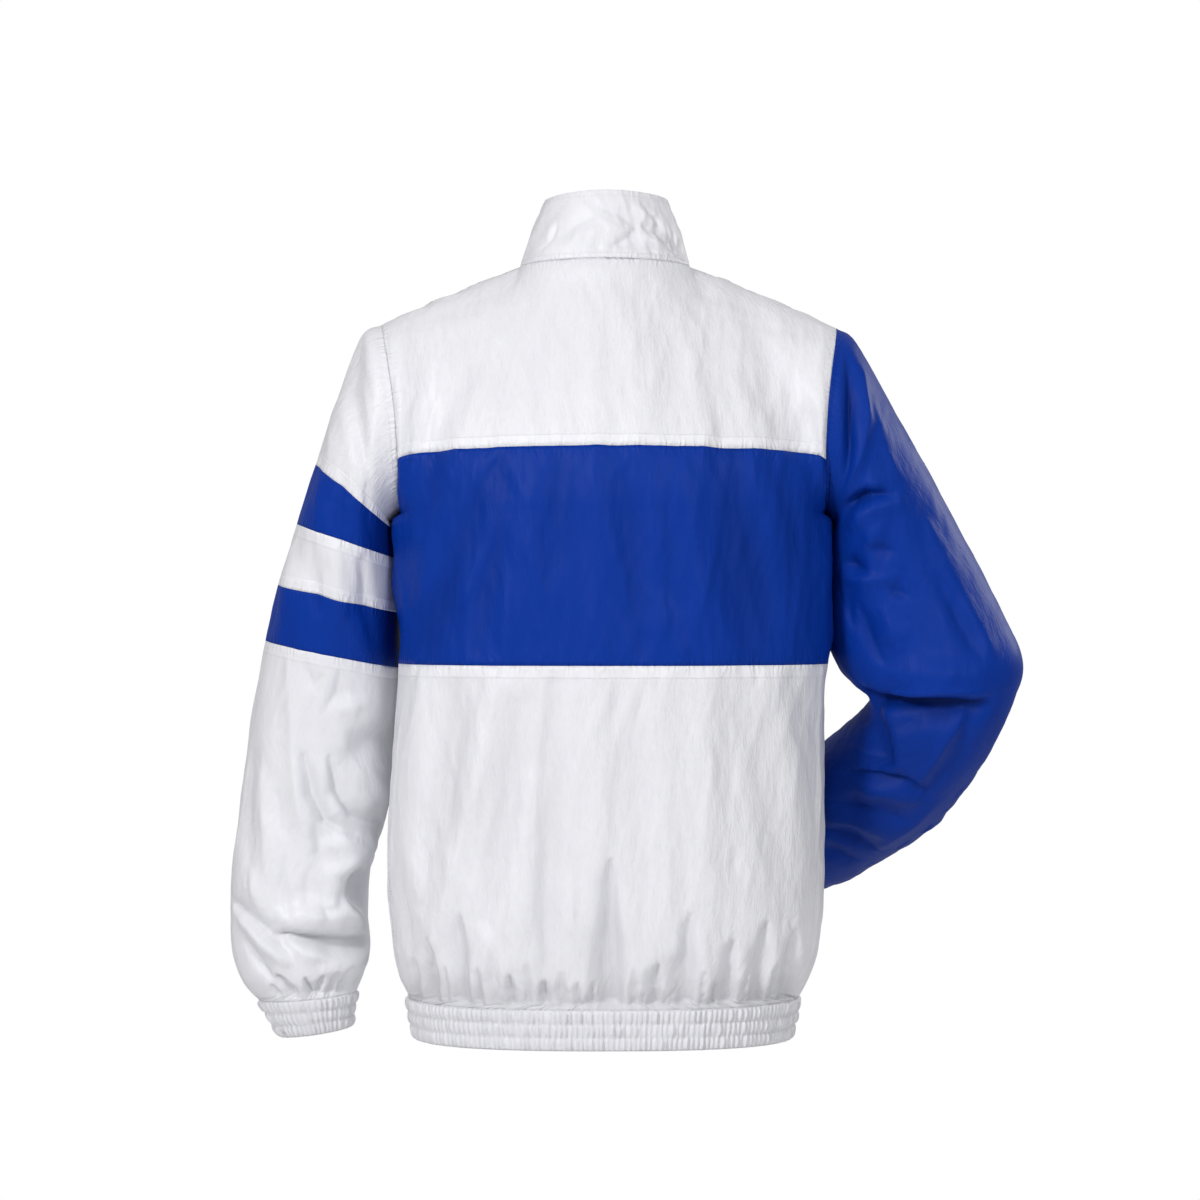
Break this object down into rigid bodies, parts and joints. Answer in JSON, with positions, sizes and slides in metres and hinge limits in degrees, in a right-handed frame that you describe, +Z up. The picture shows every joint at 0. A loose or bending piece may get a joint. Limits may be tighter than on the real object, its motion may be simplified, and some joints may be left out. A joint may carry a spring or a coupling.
{
  "type": "windbreaker jacket",
  "caption": "Stand-collar zip-front windbreaker in its hollow worn form, white and blue colour blocks, elastic hem and cuffs, right arm bent forward",
  "frame": {"origin": "middle of the neck opening at the height of the back collar seam, where the wearer's shoulders and neck carry the coat", "axes": "+Z up, front of the coat towards -Y, wearer's left towards +X"},
  "size_m": [0.7371, 0.339, 0.7808],
  "materials": {
    "white_cloth": "soft matt woven shell cloth",
    "blue_cloth": "soft matt woven shell cloth",
    "zip_tape": "woven tape",
    "zip_teeth": "moulded",
    "zip_metal": "plain metal"
  },
  "bodies": {
    "coat": {"back_upper": "white_cloth", "back_band": "blue_cloth", "back_lower": "white_cloth", "front_left_upper": "white_cloth", "front_left_band": "blue_cloth", "front_left_lower": "white_cloth", "front_right_upper": "white_cloth", "front_right_band": "blue_cloth", "front_right_lower": "white_cloth", "collar": "white_cloth", "hem_band": "white_cloth", "sleeve_left_cap": "white_cloth", "sleeve_left_stripe_upper": "blue_cloth", "sleeve_left_middle": "white_cloth", "sleeve_left_stripe_lower": "blue_cloth", "sleeve_left_lower": "white_cloth", "cuff_left": "white_cloth", "sleeve_right_cap": "blue_cloth", "sleeve_right_upper": "blue_cloth", "sleeve_right_elbow": "blue_cloth", "sleeve_right_forearm": "blue_cloth", "cuff_right": "blue_cloth", "zip_tape_left": "zip_tape", "zip_tape_right": "zip_tape", "zip_chain": "zip_teeth", "zip_slider": "zip_metal"},
    "pull": {"zip_pull": "zip_metal"}
  },
  "joints": [
    {"name": "pull_swing", "type": "hinge", "parent": "coat", "child": "pull", "pos_m": [0, -0.07232, 0.03234], "axis": [-1, 0, 0], "range_deg": [0, 140]}
  ]
}
